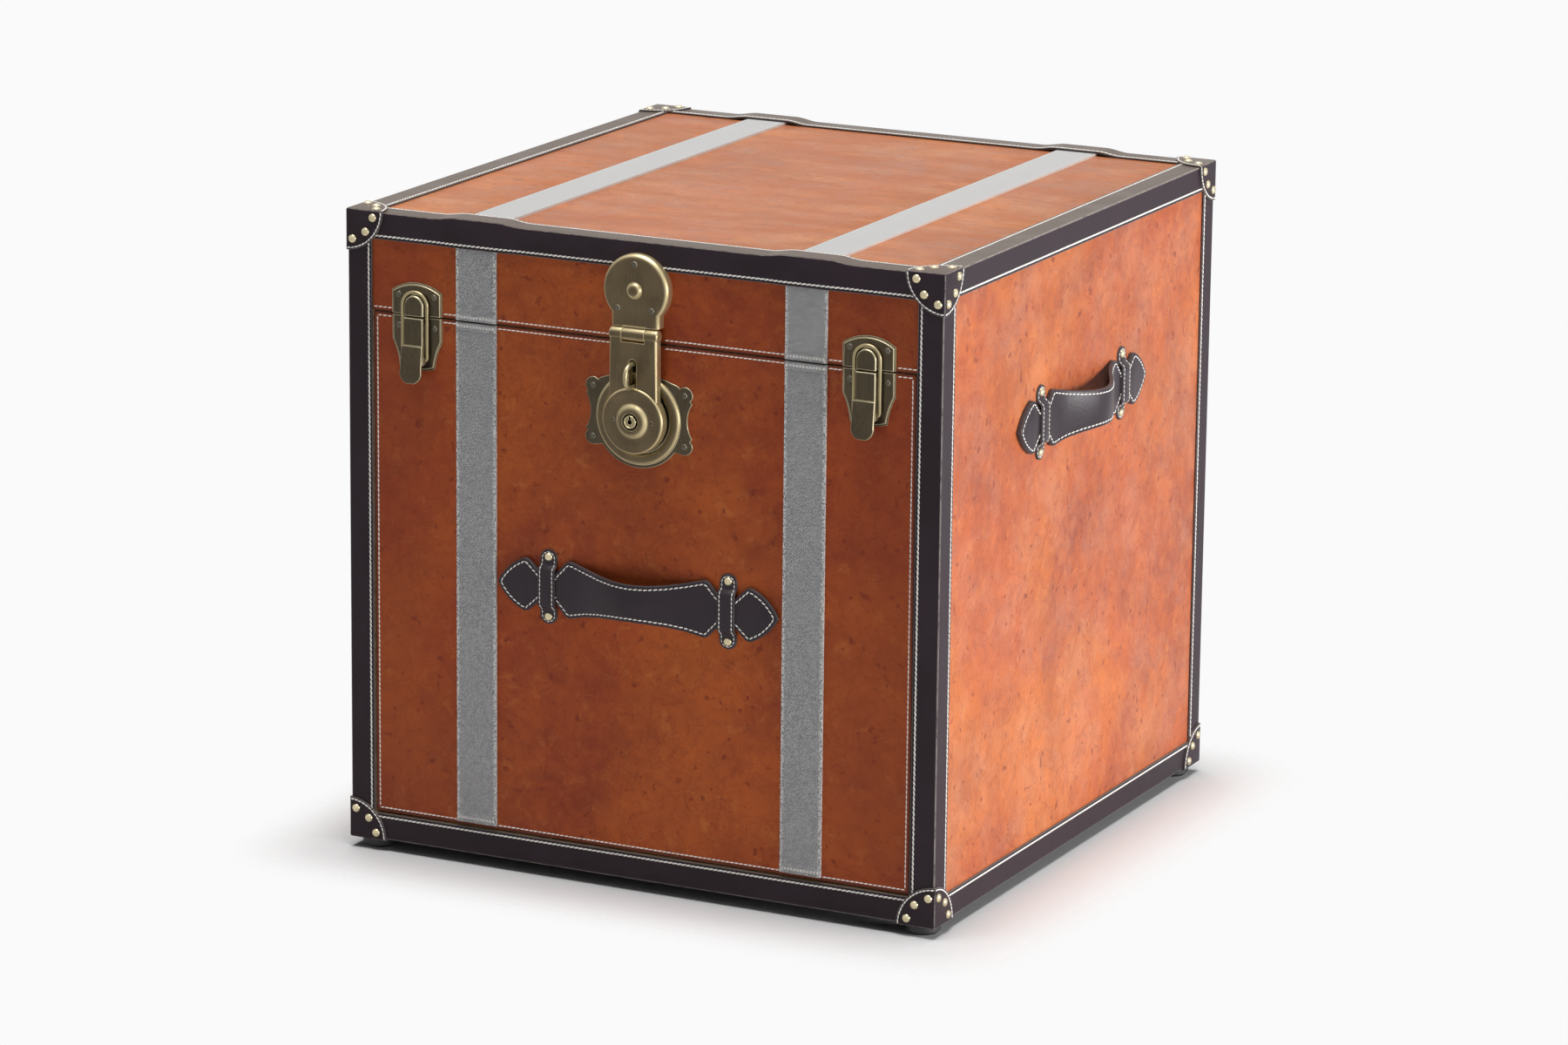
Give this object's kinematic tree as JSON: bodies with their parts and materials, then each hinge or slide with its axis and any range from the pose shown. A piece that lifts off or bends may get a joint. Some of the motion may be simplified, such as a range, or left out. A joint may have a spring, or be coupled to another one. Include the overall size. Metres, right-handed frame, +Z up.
{
  "type": "drop-front trunk",
  "caption": "Cube-shaped leather-covered trunk with a drop-front door, hasp lock, draw latches, webbing straps, bound edges, nailed corner caps and strap handles.",
  "frame": {"origin": "on the floor, under the middle of the whole trunk, from the staple's tip to the rear nails", "axes": "+X to the right of someone facing the door, +Y from the door to the back, +Z up"},
  "size_m": [0.6076, 0.5942, 0.5665],
  "materials": {
    "plywood": "satin sanded plywood",
    "tan_leather": "burnished, slightly glossy",
    "dark_leather": "smooth, slightly glossy",
    "handle_leather": "thick, near-black brown, slightly glossy",
    "webbing": "flat woven cotton",
    "lining": "matt cloth",
    "black_cloth": "matt cloth",
    "old_brass": "antiqued, worn at the edges",
    "bright_brass": "polished",
    "steel": "plain",
    "foot_plastic": "matt moulded"
  },
  "bodies": {
    "case": {"bottom_board": "plywood", "top_board": "plywood", "left_board": "plywood", "right_board": "plywood", "back_board": "plywood", "front_sill": "plywood", "front_rail": "plywood", "front_stiles": "plywood", "door_stop": "plywood", "leather_top": "tan_leather", "leather_left": "tan_leather", "leather_right": "tan_leather", "leather_back": "tan_leather", "leather_rail": "tan_leather", "base_cloth": "black_cloth", "lining_floor": "lining", "lining_ceiling": "lining", "lining_back": "lining", "lining_sides": "lining", "pivot_bushes": "bright_brass", "strap_left": "webbing", "strap_right": "webbing", "binding_top_front": "dark_leather", "binding_top_rear": "dark_leather", "bindings_bottom": "dark_leather", "bindings_depthwise": "dark_leather", "bindings_upright": "dark_leather", "corner_caps": "dark_leather", "corner_nails": "bright_brass", "feet": "foot_plastic", "lock_head": "old_brass", "latch_strikes": "old_brass", "hasp_pin": "old_brass", "rail_screws": "bright_brass", "side_handle_rivets": "bright_brass", "side_handle_loops": "handle_leather"},
    "door": {"door_board": "plywood", "leather_door": "tan_leather", "lining_door": "lining", "door_straps": "webbing", "door_pivot_pins": "steel", "lock_plate": "old_brass", "staple": "old_brass", "latch_bases": "old_brass", "lever_pins": "old_brass", "door_screws": "bright_brass", "front_handle_loops": "handle_leather", "front_handle_rivets": "bright_brass"},
    "hasp": {"hasp": "old_brass", "hasp_rivets": "bright_brass"},
    "key_plug": {"key_plug": "bright_brass"},
    "left_lever": {"left_lever": "old_brass"},
    "right_lever": {"right_lever": "old_brass"},
    "left_bail": {"left_bail": "old_brass"},
    "right_bail": {"right_bail": "old_brass"},
    "front_handle": {"front_handle": "handle_leather"},
    "left_handle": {"left_handle": "handle_leather"},
    "right_handle": {"right_handle": "handle_leather"}
  },
  "joints": [
    {"name": "door_hinge", "type": "hinge", "parent": "case", "child": "door", "pos_m": [0, -0.2642, 0.0421], "axis": [1, 0, 0], "range_deg": [0, 90]},
    {"name": "hasp_hinge", "type": "hinge", "parent": "case", "child": "hasp", "pos_m": [0, -0.2772, 0.4855], "axis": [-1, 0, 0], "range_deg": [0, 110]},
    {"name": "key_turn", "type": "hinge", "parent": "hasp", "child": "key_plug", "pos_m": [0, -0.2812, 0.4126], "axis": [0, 1, 0], "range_deg": [0, 90]},
    {"name": "left_lever_hinge", "type": "hinge", "parent": "door", "child": "left_lever", "pos_m": [-0.212, -0.2742, 0.4743], "axis": [-1, 0, 0], "range_deg": [0, 90]},
    {"name": "left_bail_pivot", "type": "hinge", "parent": "left_lever", "child": "left_bail", "pos_m": [-0.212, -0.2744, 0.4407], "axis": [-1, 0, 0], "range_deg": [-90, 0]},
    {"name": "right_lever_hinge", "type": "hinge", "parent": "door", "child": "right_lever", "pos_m": [0.212, -0.2742, 0.4743], "axis": [-1, 0, 0], "range_deg": [0, 90]},
    {"name": "right_bail_pivot", "type": "hinge", "parent": "right_lever", "child": "right_bail", "pos_m": [0.212, -0.2744, 0.4407], "axis": [-1, 0, 0], "range_deg": [-90, 0]},
    {"name": "front_handle_play", "type": "slide", "parent": "door", "child": "front_handle", "axis": [1, 0, 0], "range_m": [-0.0025, 0.0025]},
    {"name": "left_handle_play", "type": "slide", "parent": "case", "child": "left_handle", "axis": [0, 1, 0], "range_m": [-0.0025, 0.0025]},
    {"name": "right_handle_play", "type": "slide", "parent": "case", "child": "right_handle", "axis": [0, 1, 0], "range_m": [-0.0025, 0.0025]}
  ],
  "couplings": [
    {"joint": "left_bail_pivot", "follows": "left_lever_hinge", "ratio": -1},
    {"joint": "right_bail_pivot", "follows": "right_lever_hinge", "ratio": -1}
  ]
}
